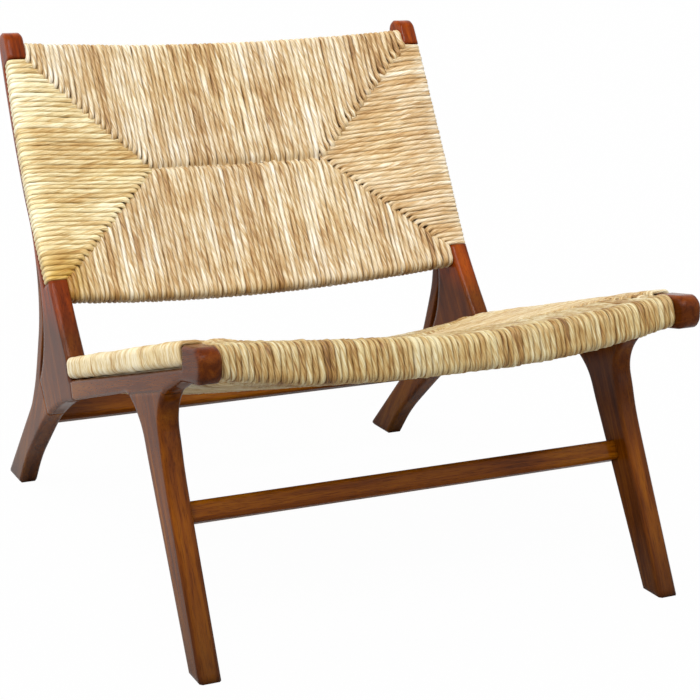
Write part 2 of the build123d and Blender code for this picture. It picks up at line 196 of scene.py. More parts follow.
RAIL_LAY = Lay(across=True, past_over=0.0055, past_under=0.005, past_spread=0.0012,
               lead=0.95, lead_spread=0.0008, bend=4.5, flat=1.0)
BAR_LAY = Lay(across=False, past_over=0.003, past_under=0.0065, past_spread=0.001,
              lead=-1.7, lead_spread=0.0006, bend=2.6, flat=0.74)
MIDDLE_PAST = 0.0015        # rail cords run this far past the sheet's middle line
END_SLACK = 0.0045          # rolls are this much slimmer at a rail's ends
END_BULGE = 0.0035          # and the wraps stand this much further out at a bar's middle
BENDS_FROM, BENDS_FULLY = 0.02, 0.04    # reach of the first bar cords to bend, and of full bend

# in cords: how deep an end dives and over what length, and a hump's height, place and width
DIVE_OVER = 0.95, 0.75
DIVE_BESIDE = 0.85, 1.6
DIVE_UNDER = 0.85, 1.5
HUMP = 0.3, 1.1, 0.6

# size, longest and shortest wave of each unevenness along a cord, and each cord's own share
SWAY = 0.0005, 0.2, 0.06            # sideways
RISE = 0.0004, 0.12, 0.03           # out of the sheet
OWN_RISE = 0.0003
SWELL = 0.05, 0.09, 0.02            # of the cord's thickness, as a share of it
OWN_SWELL = 0.04
PRESSED = 0.56                      # half a cord's width over its place: it presses on the next

CORD_SIDES = 9                      # corners of a cord's section
RUN_SAMPLES, TURN_SAMPLES, FACE_SAMPLES = 36, 6, 3      # along a run, round a turn, down a face


# ------------------------------------------------------------------ meshes
def new_object(name, points, corners, counts, uv=None, attributes=None):
    """Smooth mesh object from flat arrays: points, the faces' corners and the corners per face."""
    mesh = bpy.data.meshes.new(name)
    mesh.vertices.add(len(points))
    mesh.vertices.foreach_set("co", np.asarray(points, np.float32).ravel())
    mesh.loops.add(len(corners))
    mesh.loops.foreach_set("vertex_index", np.asarray(corners, np.int32))
    mesh.polygons.add(len(counts))
    starts = np.concatenate([[0], np.cumsum(counts)[:-1]])
    mesh.polygons.foreach_set("loop_start", starts.astype(np.int32))
    mesh.polygons.foreach_set("loop_total", np.asarray(counts, np.int32))
    mesh.polygons.foreach_set("use_smooth", np.ones(len(counts), bool))
    if uv is not None:
        layer = mesh.uv_layers.new(name="UVMap")
        layer.data.foreach_set("uv", np.asarray(uv, np.float32).ravel())
    for key, values in (attributes or {}).items():
        attribute = mesh.attributes.new(key, "FLOAT", "POINT")
        attribute.data.foreach_set("value", np.asarray(values, np.float32).ravel())
    mesh.update()
    mesh.validate()
    piece = bpy.data.objects.new(name, mesh)
    bpy.context.scene.collection.objects.link(piece)
    return piece


def run_of(steps):
    """Length along each cord at its samples: 0, then the running sum of the steps between them."""
    return np.pad(np.cumsum(steps, axis=1), ((0, 0), (1, 0)))


def cords(name, centre, side, radius_side, radius_out, tone, place, crease_shade):
    """Many closed cords at once.

    A cord is an ellipse carried along its centre line: point = centre + a cos(t) side
    + b sin(t) normal, where the normal is the line's tangent crossed with side.
    centre is (cords, samples, 3); side is one unit vector for all of them.  The last ring at
    each end closes on one point.  UV: u is the length along the cord in metres, v the turn.
    Attributes: tone and place of each cord, and flank = crease |cos(t)|, the painted shade that is
    highest between cords.
    """
    count, samples, _ = centre.shape
    tangent = np.gradient(centre, axis=1)
    tangent /= np.linalg.norm(tangent, axis=2, keepdims=True)
    normal = np.cross(tangent, side)
    normal /= np.linalg.norm(normal, axis=2, keepdims=True)
    across = np.cross(normal, tangent)
    turn = np.arange(CORD_SIDES) * 2 * np.pi / CORD_SIDES
    ring = (centre[:, :, None]
            + (radius_side[..., None] * np.cos(turn))[..., None] * across[:, :, None]
            + (radius_out[..., None] * np.sin(turn))[..., None] * normal[:, :, None])
    points = np.concatenate([ring.reshape(-1, 3), centre[:, 0], centre[:, -1]])

    index = np.arange(count * samples * CORD_SIDES).reshape(count, samples, CORD_SIDES)
    beside = np.roll(index, -1, axis=2)
    quads = np.stack([index[:, :-1], beside[:, :-1], beside[:, 1:], index[:, 1:]],
                     -1).reshape(-1, 4)
    first_tip = index.size + np.arange(count)[:, None] + 0 * index[:, 0]
    fans = np.concatenate([
        np.stack([beside[:, 0], index[:, 0], first_tip], -1),
        np.stack([index[:, -1], beside[:, -1], first_tip + count], -1)]).reshape(-1, 3)
    counts = np.concatenate([np.full(len(quads), 4), np.full(len(fans), 3)])

    run = run_of(np.linalg.norm(np.diff(centre, axis=1), axis=2))
    u = np.broadcast_to(run[:, :, None], index.shape)
    v = np.broadcast_to(np.arange(CORD_SIDES) / CORD_SIDES, index.shape)
    here, nxt = np.stack([u, v], -1), np.stack([u, v + 1 / CORD_SIDES], -1)
    uv = np.concatenate([
        np.stack([here[:, :-1], nxt[:, :-1], nxt[:, 1:], here[:, 1:]], -2).reshape(-1, 2),
        np.stack([nxt[:, 0], here[:, 0], here[:, 0]], -2).reshape(-1, 2),
        np.stack([here[:, -1], nxt[:, -1], here[:, -1]], -2).reshape(-1, 2)])
    attributes = {key: np.concatenate([np.repeat(value, samples * CORD_SIDES), value, value])
                  for key, value in (("cord_tone", tone), ("cord_place", place))}
    sides = np.broadcast_to(np.abs(np.cos(turn)), index.shape).ravel()
    attributes["flank"] = crease_shade * np.concatenate([sides, np.ones(2 * count)])
    piece = new_object(name, points, np.concatenate([quads.ravel(), fans.ravel()]), counts, uv,
                       attributes)
    a, b, c = (points[quads[:, i]] for i in range(3))
    if np.einsum("ij,ij->", a - points.mean(0), np.cross(b - a, c - a)) < 0:
        piece.data.flip_normals()
    return piece


def wobble(rng, run, size, longest, shortest):
    """Sum of four seeded sines along each cord, for the unevenness of hand-wound rush.

    Each sine has its share of the size and a wavelength of its own for every cord.
    """
    total = np.zeros_like(run)
    for share in (1.0, 0.7, 0.5, 0.35):
        wave = rng.uniform(shortest, longest, (len(run), 1)) * (0.4 + 0.6 * share)
        total += share * np.sin(2 * np.pi * (run / wave + rng.uniform(0, 1, (len(run), 1))))
    usual_most = 1.6        # most sums of the four lie within it
    return size * total / usual_most


def laid(rng, count, low, high):
    """Centres and widths of cords laid side by side from low to high, each a little different."""
    spread, most = 0.13, 0.3
    width = 1 + np.clip(rng.normal(0, spread, count), -most, most)
    width *= (high - low) / width.sum()
    return low + np.cumsum(width) - width / 2, width


def tones_of(rng, count):
    """One tone from 0 to 1 per cord: half its own, half shared with its neighbours.

    The shared half runs in straight lines between random tones at every fourth cord.
    """
    own = 0.5 * rng.uniform(0, 1, count)
    fourth = np.arange(0, count + 4, 4)
    return own + 0.5 * np.interp(np.arange(count), fourth, rng.uniform(0, 1, len(fourth)))


def wound_sector(name, weave, lay, cord, rng, row, inner, outer, over, lead):
    """Cords of one sector, each a flat U: over the top, round the rail or bar, back underneath.

    q runs inwards from the rail, p along it.  The top run goes from the mitre at `inner` to the
    rail, then a quarter turn, the rail's outer face at `outer`, another quarter turn and the run
    underneath to the other mitre.  Heights come from the weave's top and under surfaces.  At its
    end a cord dives under its neighbour: at once and from a small hump where it is `over` the
    other sector, else over a cord and a half.  Its last stretch curves sideways as a parabola
    by `lead`.  A cord pressed flat has a wider section than it is high, and shallower creases
    with less painted shade in them.
    """
    places, widths = row
    count = len(places)
    p, inner, outer = places[:, None], inner[:, None], outer[:, None]
    corner, low_corner = weave.rail_corners if lay.across else weave.bar_corners
    inward = np.sign(inner - outer)
    start, low_start = outer + inward * corner, outer + inward * low_corner

    def height(surface, q):
        """Height of a surface of the weave over the places p and q."""
        return surface(p + 0 * q, q) if lay.across else surface(q, p + 0 * q)

    def dive(reach, depth, length):
        """How far a cord has dived at `reach` from its end: a cubic ease out over `length`."""
        return depth * cord * (1 - smooth(reach, 0, length * cord))

    t = np.linspace(0, 1, RUN_SAMPLES)[None, :]
    t = 0.45 * t ** 1.5 + 0.55 * smooth(t, 0, 1)            # closer samples at both ends
    turn = np.linspace(0, np.pi / 2, TURN_SAMPLES)[None, 1:]
    face = np.linspace(0, 1, FACE_SAMPLES)[None, 1:]
    q_top = inner + (start - inner) * t
    q_under = (inner + (low_start - inner) * t)[:, ::-1]
    reach = np.abs(q_top - inner)
    rise, place, width = np.multiply(HUMP, cord)
    hump = rise * np.exp(-((reach - place) / width) ** 2)
    dip_top = np.where(over[:, None], dive(reach, *DIVE_OVER) - hump, dive(reach, *DIVE_BESIDE))
    dip_under = dive(np.abs(q_under - inner), *DIVE_UNDER)

    h_start, h_end = height(weave.top, start), height(weave.under, low_start)
    face_top, face_low = h_start - corner, h_end + low_corner
    q = np.concatenate([
        q_top,
        start - inward * corner * np.sin(turn),
        outer + 0 * face,
        low_start - inward * low_corner * np.cos(turn),
        q_under[:, 1:]], axis=1)
    h = np.concatenate([
        height(weave.top, q_top) - dip_top,
        h_start - corner * (1 - np.cos(turn)),
        face_top + (face_low - face_top) * face,
        h_end + low_corner * (1 - np.sin(turn)),
        (height(weave.under, q_under) + dip_under)[:, 1:]], axis=1)

    run = run_of(np.hypot(np.diff(q, axis=1), np.diff(h, axis=1)))
    curve = np.clip(1 - run / (lay.bend * cord), 0, 1) ** 2
    drift = p + wobble(rng, run, *SWAY) + lead[:, None] * curve
    lift = wobble(rng, run, *RISE) + rng.normal(0, OWN_RISE, (count, 1))
    middle = (h_start + h_end) / 2
    out = np.clip((h - middle) / np.maximum(np.abs(h_start - middle), 1e-4), -1, 1)
    h = h + (lift + (1 - lay.flat) * cord / 2) * out
    uneven = 1 + rng.normal(0, OWN_SWELL, (count, 1)) + wobble(rng, run, *SWELL)
    x, y = (drift, q) if lay.across else (q, drift)
    side = np.array([1.0, 0.0, 0.0]) if lay.across else weave.sheet.along
    # strength of the painted shade between cords, less on a cord pressed flat
    crease_shade = 1 - 1.3 * (1 - lay.flat)
    return cords(name, weave.sheet.place(x, y, h), side, PRESSED * widths[:, None] * uneven,
                 lay.flat * cord / 2 * uneven, tones_of(rng, count),
                 np.arange(count) + 1000 * rng.uniform(), crease_shade)


def wind(weave, rail_count, bar_count, cord, rng):
    """Four sectors of cord that meet on 45 degree mitres and on the sheet's middle line.

    At the two far mitres the rail's cords curl out over the bars' cords; at the near ones the
    bars' cords bend down over the rail's, the more the further they reach in, and the shortest
    not at all.  `past` is how far a cord runs on past its mitre.
    """
    middle = (weave.low + weave.high) / 2
    half = weave.high - middle
    pieces = []
    for name, end, inward, edge in zip(weave.sectors[:2], weave.rail_ends, (-1, 1),
                                       (weave.high, weave.low)):
        row = laid(rng, rail_count, -HALF_INSIDE, HALF_INSIDE)
        x = row[0]
        reach = np.minimum(HALF_INSIDE - np.abs(x), half)
        mitred = reach < half
        over = mitred & (inward < 0)
        past = np.where(over, RAIL_LAY.past_over, RAIL_LAY.past_under)
        past = np.where(mitred, past, MIDDLE_PAST) + rng.normal(0, RAIL_LAY.past_spread, len(x))
        lead = np.where(over, np.sign(x) * RAIL_LAY.lead * cord, 0)
        lead += rng.normal(0, RAIL_LAY.lead_spread, len(x))
        pieces.append(wound_sector(
            name, weave, RAIL_LAY, cord, rng, row, edge + inward * (reach + past),
            end + inward * END_SLACK * (1 - bow(x)), over, lead))
    for name, sign in zip(weave.sectors[2:], (1, -1)):
        row = laid(rng, bar_count, weave.low, weave.high)
        y = row[0]
        reach = np.minimum(y - weave.low, weave.high - y)
        over = (y < middle) & (reach > BENDS_FROM)
        past = np.where(over, BAR_LAY.past_over, BAR_LAY.past_under)
        past += rng.normal(0, BAR_LAY.past_spread, len(y))
        lead = np.where(over, BAR_LAY.lead * cord * np.clip(reach / BENDS_FULLY, 0, 1), 0)
        lead += rng.normal(0, BAR_LAY.lead_spread, len(y))
        bulge = END_BULGE * (1 - ((y - middle) / (middle - weave.low)) ** 2)
        pieces.append(wound_sector(
            name, weave, BAR_LAY, cord, rng, row, sign * (HALF_INSIDE - reach - past),
            sign * (weave.bar_end + bulge), over, lead))
    return pieces


def stuffing(name, weave):
    """Closed pad between the two layers of cord: top and under surfaces on one grid, and a rim."""
    nx, ny = 49, 33
    inset = 0.0045          # inside the cords' centre surfaces
    clear = 0.0025          # from the frames
    x, y = np.meshgrid(np.linspace(clear - HALF_INSIDE, HALF_INSIDE - clear, nx),
                       np.linspace(*weave.pad, ny), indexing="ij")
    upper = weave.sheet.place(x, y, weave.top(x, y) - inset).reshape(-1, 3)
    lower = weave.sheet.place(x, y, weave.under(x, y) + inset).reshape(-1, 3)
    index = np.arange(nx * ny).reshape(nx, ny)
    quads = np.stack([index[:-1, :-1], index[1:, :-1], index[1:, 1:], index[:-1, 1:]],
                     -1).reshape(-1, 4)
    rim = np.concatenate([index[:-1, 0], index[-1, :-1], index[:0:-1, -1], index[0, :0:-1]])
    nxt = np.roll(rim, -1)
    wall = np.stack([rim, rim + nx * ny, nxt + nx * ny, nxt], -1)
    faces = np.concatenate([quads, quads[:, ::-1] + nx * ny, wall[:, ::-1]])
    return new_object(name, np.concatenate([upper, lower]), faces.ravel(), np.full(len(faces), 4))


# ------------------------------------------------------------------ colours and nodes
def linear(hexcode):
    """sRGB hex colour to linear RGBA: c / 12.92 near black, else ((c + 0.055) / 1.055)^2.4."""
    rgb = [int(hexcode[i:i + 2], 16) / 255 for i in (1, 3, 5)]
    return (*[c / 12.92 if c <= 0.04045 else ((c + 0.055) / 1.055) ** 2.4 for c in rgb], 1.0)


def add(tree, kind, inputs=None, stops=(), **settings):
    """Adds a shader node and returns its outputs.

    `inputs` maps a socket's name or number to the output that feeds it, or to its value.
    `stops` are the places and colours of a colour ramp, `settings` the node's own properties.
    """
    node = tree.nodes.new("ShaderNode" + kind)
    for key, value in settings.items():
        setattr(node, key, value)
    for key, value in (inputs or {}).items():
        if isinstance(value, bpy.types.NodeSocket):
            tree.links.new(value, node.inputs[key])
        else:
            node.inputs[key].default_value = value
    if stops:
        band = node.color_ramp.elements
        while len(band) < len(stops):
            band.new(0.5)
        for element, (place, colour) in zip(band, stops):
            element.position = place
            element.color = colour
    return node.outputs


MULTIPLY = {"data_type": "RGBA", "blend_type": "MULTIPLY"}      # settings of a Mix node
A, B, MIXED = 6, 7, 2       # its two colour inputs and its colour output


def fresh(name):
    """A new material and the function that adds a node to it."""
    material = bpy.data.materials.new(name)
    material.use_nodes = True
    material.node_tree.nodes.clear()
    return material, partial(add, material.node_tree)


def once(name, make, *values):
    """The material of this name, made when it is first asked for."""
    return bpy.data.materials.get(name) or make(name, *values)


# ------------------------------------------------------------------ materials
def wound_rush(name, pale, contrast, tint):
    """Twisted dried rush: each cord is two leaves of straw colour, cream, tan and brown.

    Dried leaves have a waxy skin, so ridges shine softly while the creases between cords are
    dull and painted brown as shade.  The two leaves turn round each other once in 100 mm, their
    split wandering with them, a groove painted dark as shade.  Streaks are about 1.5 mm wide and
    20 mm long.  `pale` shifts the leaves towards cream, `contrast` scales their differences and
    `tint` multiplies them, shifting the hue a little; pale and tint also paint light and shade
    per sector.  Round the outside of the frames the leaves are painted paler, as painted light.
    """
    material, node = fresh(name)
    run = node("SeparateXYZ", {0: node("UVMap", uv_map="UVMap")[0]})
    along, turn = run[0], run[1]
    tone = node("Attribute", attribute_name="cord_tone")["Fac"]
    number = node("Attribute", attribute_name="cord_place")["Fac"]
    flank = node("Attribute", attribute_name="flank")["Fac"]
    place = node("TexCoord")["Object"]

    twists_per_metre, seeds = 10.0, 137.0
    turned = node("Math", {0: along, 1: twists_per_metre, 2: turn}, operation="MULTIPLY_ADD")[0]
    angle = node("Math", {0: turned, 1: 2 * math.pi}, operation="MULTIPLY")[0]
    cosine = node("Math", {0: angle}, operation="COSINE")[0]
    sine = node("Math", {0: angle}, operation="SINE")[0]
    own = node("Math", {0: tone, 1: seeds}, operation="MULTIPLY")[0]
    twist = node("CombineXYZ", {0: cosine, 1: sine, 2: along})[0]
    shift = node("CombineXYZ", {0: own})[0]

    def twisted(reach, stretch, scale, detail):
        """Noise wrapped round the twist: `reach` sets its fineness across, `stretch` along."""
        at = node("VectorMath", {0: twist, 1: (reach, reach, stretch), 2: shift},
                  operation="MULTIPLY_ADD")[0]
        return node("TexNoise", {"Vector": at, "Scale": scale, "Detail": detail,
                                 "Roughness": 0.6})["Fac"]

    fibre = twisted(1.1, 24.0, 2.2, 3.0)
    leaf = twisted(0.5, 10.0, 1.0, 2.0)
    # bundles: three or four neighbouring cords share a tone for about 150 mm of their length
    bundle_at = node("VectorMath", {0: node("CombineXYZ", {0: number, 1: along})[0],
                                    1: (0.38, 6.0, 1.0)}, operation="MULTIPLY")[0]
    bundle = node("TexNoise", {"Vector": bundle_at, "Scale": 1.0, "Detail": 2.0,
                               "Roughness": 0.6})["Fac"]
    # split: where two leaves of a cord lie against each other, a groove in the bump and painted
    # shade in the colour
    phase = node("Math", {0: leaf, 1: 7.0, 2: angle}, operation="MULTIPLY_ADD")[0]
    apart = node("Math", {0: node("Math", {0: phase}, operation="SINE")[0]},
                 operation="ABSOLUTE")[0]
    split = node("MapRange", {0: apart, "From Max": 0.3, "To Min": 1.0, "To Max": 0.0})[0]

    # the split's negative share darkens the straw as painted shade
    varied = ((leaf, 0.8), (fibre, 1.35), (bundle, 0.85), (tone, 0.5))
    mix = -0.5 * sum(weight for source, weight in varied)
    for source, weight in (*varied, (split, -0.22)):
        mix = node("Math", {0: source, 1: weight, 2: mix}, operation="MULTIPLY_ADD")[0]
    # painted light: the leaves round the outside of a frame are painted paler, starting 5 mm past
    # its inner face and fully so 18 mm further out
    across = node("Math", {0: node("SeparateXYZ", {0: place})[0]}, operation="ABSOLUTE")[0]
    middle = node("MapRange", {0: across, "From Min": HALF_INSIDE + 0.005,
                               "From Max": HALF_INSIDE + 0.023, "To Min": 0.56 + pale,
                               "To Max": 0.68 + pale})[0]
    straw = node("Math", {0: mix, 1: contrast, 2: middle}, operation="MULTIPLY_ADD")[0]
    colour = node("ValToRGB", {"Fac": straw}, [
        (0.0, linear("#74502A")), (0.2, linear("#A07746")), (0.38, linear("#C09C68")),
        (0.54, linear("#D0B68D")), (0.7, linear("#E2D2B2")), (0.9, linear("#F3ECDF"))])[0]

    golden = node("TexNoise", {"Vector": place, "Scale": 9.0, "Detail": 1.0})["Fac"]
    # the frame's lacquer has soaked 20 to 66 mm of rush, with an edge ragged by 25 mm either way
    foot = node("VectorMath", {0: place, 1: LACQUER_RUN}, operation="DISTANCE")["Value"]
    ragged = node("Math", {0: leaf, 1: 2 * 0.025, 2: foot}, operation="MULTIPLY_ADD")[0]
    soaked = node("MapRange", {0: ragged, "From Min": 0.020 + 0.025, "From Max": 0.066 + 0.025,
                               "To Min": 0.85, "To Max": 0.0})[0]
    # painted shade: a cord turns brown towards its flanks, where it lies against the next, and is
    # duller there
    crease_shade = node("Math", {0: flank, 1: 3.0}, operation="POWER")[0]
    crease_shade_share = node("Math", {0: crease_shade, 1: 0.6}, operation="MULTIPLY")[0]
    for share, shade in ((golden, linear("#FFF5D6")), (soaked, linear("#CFAE42")),
                         (crease_shade_share, linear("#94663A")), (1.0, tint)):
        colour = node("Mix", {"Factor": share, A: colour, B: shade}, **MULTIPLY)[MIXED]

    streaks = node("Math", {0: fibre, 1: leaf}, operation="ADD")[0]
    relief = node("Math", {0: split, 1: -0.6, 2: streaks}, operation="MULTIPLY_ADD")[0]
    normal = node("Bump", {"Height": relief, "Strength": 0.7, "Distance": 0.0011})[0]
    roughness = node("Math", {0: crease_shade, 1: 0.3, 2: 0.42}, operation="MULTIPLY_ADD")[0]
    shader = node("BsdfPrincipled", {
        "Base Color": colour, "Normal": normal, "Roughness": roughness, "IOR": 1.45,
        "Specular IOR Level": 0.45})[0]
    node("OutputMaterial", {"Surface": shader})
    return material


def leaf_stuffing(name):
    """Broken dry rush leaves, dull, seen only between two cords.

    They are painted dark brown as the shade there.
    """
    material, node = fresh(name)
    noise = node("TexNoise", {"Vector": node("TexCoord")["Object"], "Scale": 180.0,
                              "Detail": 2.0})["Fac"]
    colour = node("ValToRGB", {"Fac": noise}, [(0.3, linear("#3A2410")), (0.7, linear("#7A5228"))])
    shader = node("BsdfPrincipled", {"Base Color": colour[0], "Roughness": 0.9})[0]
    node("OutputMaterial", {"Surface": shader})
    return material


def lacquered_timber(name, direction, lift):
    """Dark stained mahogany under a thin satin lacquer, sawn and sanded.

    Grain runs along `direction` (a unit vector).  The growth bands are 3 to 8 mm apart and the
    pores are drawn 0.8 mm wide and 15 mm long, coarser than the real 0.2 mm so that they show.
    With height the colour turns from brown on the legs to red on the posts, and it is painted
    darker towards the feet and lighter on the posts, as painted shade and light; `lift` shifts it
    down, in parts of 0.8 m.  The lacquer gives a soft sheen, and the edges are rounded, most at
    the side rails' noses.
    """
    settings = bpy.context.scene.chair_timber
    material, node = fresh(name)
    place = node("TexCoord")["Object"]
    pitch, heading = math.asin(direction[2]), math.atan2(direction[1], direction[0])
    turned = place
    for turn in ((0, 0, -heading), (0, pitch, 0)):          # the grain is brought onto X
        turned = node("Mapping", {"Vector": turned, "Rotation": turn})[0]
    bands_at = node("Mapping", {"Vector": turned, "Scale": (5.0, 90.0, 90.0)})[0]
    bands = node("TexNoise", {"Vector": bands_at, "Scale": 1.0, "Detail": 4.0, "Roughness": 0.55,
                              "Distortion": 0.6})["Fac"]
    pores_at = node("Mapping", {"Vector": turned, "Scale": (45.0, 900.0, 900.0)})[0]
    fine = node("TexNoise", {"Vector": pores_at, "Scale": 1.0, "Detail": 3.0,
                             "Roughness": 0.6})["Fac"]
    broad = node("TexNoise", {"Vector": turned, "Scale": 7.0, "Detail": 1.0})["Fac"]

    broad_share = node("Math", {0: broad, 1: 0.3}, operation="MULTIPLY")[0]
    figure = node("Math", {0: bands, 1: 0.7, 2: broad_share}, operation="MULTIPLY_ADD")[0]
    grain = node("ValToRGB", {"Fac": figure}, [
        (0.30, (*settings.dark, 1.0)), (0.45, (*settings.brown, 1.0)),
        (0.58, (*settings.red, 1.0)), (0.75, (*settings.light, 1.0))])[0]
    # colour by height over 0.8 m from the floor up: a brown to red change of staining, with painted
    # shade darker towards the feet and painted light higher up
    parts = node("SeparateXYZ", {0: place})
    height = node("Math", {0: parts[2], 1: 1.25, 2: lift}, operation="MULTIPLY_ADD")[0]
    stain_and_painted_light = node("ValToRGB", {"Fac": height}, [
        (0.0, linear("#8F9975")), (0.12, linear("#C3D290")), (0.22, linear("#E1F29E")),
        (0.31, linear("#C1C894")), (0.485, linear("#B2B285")), (0.53, linear("#F8D67A")),
        (0.9, linear("#FFD868"))])[0]
    pores = node("ValToRGB", {"Fac": fine}, [(0.36, linear("#7A5A42")),
                                             (0.5, linear("#FFFFFF"))])[0]
    colour = node("Mix", {"Factor": 1.0, A: grain, B: stain_and_painted_light}, **MULTIPLY)[MIXED]
    colour = node("Mix", {"Factor": 0.5, A: colour, B: pores}, **MULTIPLY)[MIXED]

    radius = node("MapRange", {0: parts[1], "From Min": -0.40, "From Max": -0.42,
                               "To Min": settings.edge, "To Max": settings.nose_edge})[0]
    rounded = node("Bevel", {"Radius": radius}, samples=8)[0]
    normal = node("Bump", {"Height": fine, "Normal": rounded, "Strength": 0.1,
                           "Distance": 0.0006})[0]
    roughness = node("Math", {0: fine, 1: 0.16, 2: 0.34}, operation="MULTIPLY_ADD")[0]
    shader = node("BsdfPrincipled", {
        "Base Color": colour, "Normal": normal, "Roughness": roughness, "IOR": 1.3,
        "Specular IOR Level": 0.0, "Coat Weight": settings.lacquer, "Coat Roughness": 0.13,
        "Coat IOR": 1.2, "Coat Normal": rounded})[0]
    node("OutputMaterial", {"Surface": shader})
    return material


def studio_floor(name):
    """Matt pale grey paint, which the camera sees as 98 % white with a trace of the shadow."""
    material, node = fresh(name)
    pale = node("BsdfPrincipled", {"Base Color": linear("#B4B4B4"), "Roughness": 0.8})[0]
    white = node("Emission", {"Strength": 1.0})[0]
    share = node("Math", {0: node("LightPath")["Is Camera Ray"], 1: 0.98},
                 operation="MULTIPLY")[0]
    node("OutputMaterial", {"Surface": node("MixShader", {0: share, 1: pale, 2: white})[0]})
    return material


# ------------------------------------------------------------------ settings a user may change
def colour_setting(name, description, hexcode):
    """A colour property with an sRGB hex default."""
    return bpy.props.FloatVectorProperty(
        name=name, description=description, size=3, subtype="COLOR", min=0, max=1,
        default=linear(hexcode)[:3])


class TimberSettings(bpy.types.PropertyGroup):
    """Stain, lacquer and edges of the timber."""
    dark: colour_setting("Dark grain", "Stain in the darkest bands", "#4E2107")
    brown: colour_setting("Brown grain", "Stain in the dark bands", "#74350A")
    red: colour_setting("Red grain", "Stain in the light bands", "#8C470E")
    light: colour_setting("Light grain", "Stain in the lightest bands", "#A35C18")
    lacquer: bpy.props.FloatProperty(
        name="Lacquer", description="How much of the timber the lacquer covers", default=0.85,
        subtype="FACTOR", min=0, max=1)
    edge: bpy.props.FloatProperty(
        name="Edge", description="Rounding of the timber's edges", default=0.008, unit="LENGTH")
    nose_edge: bpy.props.FloatProperty(
        name="Nose", description="Rounding of the side rails' noses", default=0.014, unit="LENGTH")


class RushSettings(bpy.types.PropertyGroup):
    """Sizes and shade of the rush."""
    cord: bpy.props.FloatProperty(
        name="Cord", description="Thickness of one rush cord", default=0.0076, unit="LENGTH")
    back_rail: bpy.props.IntProperty(
        name="Cords over the back's rails", description="Cords wound on each back rail", default=80)
    back_bar: bpy.props.IntProperty(
        name="Cords on a post", description="Cords wound on each post's bar", default=47)
    seat_rail: bpy.props.IntProperty(
        name="Cords over the seat's rails", description="Cords wound on each seat rail", default=83)
    seat_bar: bpy.props.IntProperty(
        name="Cords on a side rail", description="Cords wound on each side rail's bar", default=72)
    shade: colour_setting("Shade", "Shade over all the rush, white for none", "#FFFFFF")


class StudioSettings(bpy.types.PropertyGroup):
    """Camera and light."""
    camera_at: bpy.props.FloatVectorProperty(
        name="Camera", description="Place of the camera", size=3, subtype="XYZ",
        default=(-0.97271, -2.23152, 0.88494))
    camera_turn: bpy.props.FloatVectorProperty(
        name="Turn", description="Tilt, roll and heading of the camera", size=3, subtype="EULER",
        default=(math.radians(90 - 14.2515), 0.0, math.radians(-24.738)))
    camera_roll: bpy.props.FloatProperty(
        name="Roll", description="Roll of the camera", default=math.radians(-0.015),
        subtype="ANGLE")
    lens: bpy.props.FloatProperty(
        name="Lens", description="Focal length on a 36 mm frame", default=92.264)
    sky: bpy.props.FloatProperty(
        name="Sky", description="Strength of the even light", default=0.8)
    key: bpy.props.FloatProperty(
        name="Key", description="Strength of the main lamp", default=2.6)
    window: bpy.props.FloatProperty(
        name="Window", description="Strength of the lamp on the left, a little behind", default=1.2)
    fill: bpy.props.FloatProperty(
        name="Fill", description="Strength of the lamp on the right", default=0.35)


GROUPS = {"chair_timber": TimberSettings, "chair_rush": RushSettings,
          "chair_studio": StudioSettings}

# start of the nodes' names: their timber, the way its grain runs and the lift of its colour by
# height; the posts' lift paints them lighter, as painted light
FRONT_LEG_WAY = np.array([0, 0.45, 0.893]) / math.hypot(0.45, 0.893)
REAR_LEG_WAY = np.array([0, -0.55, 0.835]) / math.hypot(0.55, 0.835)
TIMBER = {
    "front_leg": ("lacquered mahogany, front legs", FRONT_LEG_WAY, 0.0),
    "rear_leg": ("lacquered mahogany, rear legs", REAR_LEG_WAY, 0.0),
    "back_post": ("lacquered mahogany, posts", BACK.along, 0.12),
    "side_rail": ("lacquered mahogany, side rails", SEAT.along, 0.0),
}
CROSS_TIMBER = ("lacquered mahogany, cross pieces", (1, 0, 0), 0.0)

# rush: its name, and pale, contrast and tint of wound_rush, for the sectors of a weave in order;
# pale and tint paint light and shade: the seat darker, the back's right and the seat's sides paler
BACK_RUSH = ("wound dried rush cord, back", -0.01, 1.0, "#F3F7FF")
BACK_RUSH_LEFT = ("wound dried rush cord, back left", -0.01, 0.75, "#F4F6FF")
BACK_RUSH_RIGHT = ("wound dried rush cord, back right", 0.09, 0.75, "#FBFFF6")
SEAT_RUSH = ("wound dried rush cord, worn seat", -0.015, 1.15, "#D8D8C8")
SEAT_RUSH_SIDE = ("wound dried rush cord, seat sides", 0.05, 0.8, "#E6E6DE")
RUSH = {
    "back_weave": (BACK_RUSH, BACK_RUSH, BACK_RUSH_LEFT, BACK_RUSH_RIGHT),
    "seat_weave": (SEAT_RUSH, SEAT_RUSH, SEAT_RUSH_SIDE, SEAT_RUSH_SIDE),
}

# lamps: angular size, tilt from straight down and heading, in degrees
LAMPS = {"key": (28, 36, -32), "window": (40, 65, -105), "fill": (50, 50, 25)}


# ------------------------------------------------------------------ operators
def mount(piece, material, node):
    """Gives a piece of rush its material and its body, and hides the CAD node it stands for."""
    piece.data.materials.append(material)
    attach(piece, "root")
    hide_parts(node)


def lay_weave(weave, rail_count, bar_count, pad_name, seed):
    """Winds the four sectors of one weave and lays the stuffing between them."""
    settings = bpy.context.scene.chair_rush
    pieces = wind(weave, rail_count, bar_count, settings.cord, np.random.default_rng(seed))
    for piece, (name, pale, contrast, tint) in zip(pieces, RUSH[weave.node]):
        shaded = (*np.multiply(linear(tint)[:3], settings.shade), 1.0)
        mount(piece, once(name, wound_rush, pale, contrast, shaded), weave.node)
    mount(stuffing(pad_name, weave), once("dry leaf stuffing", leaf_stuffing), weave.node)


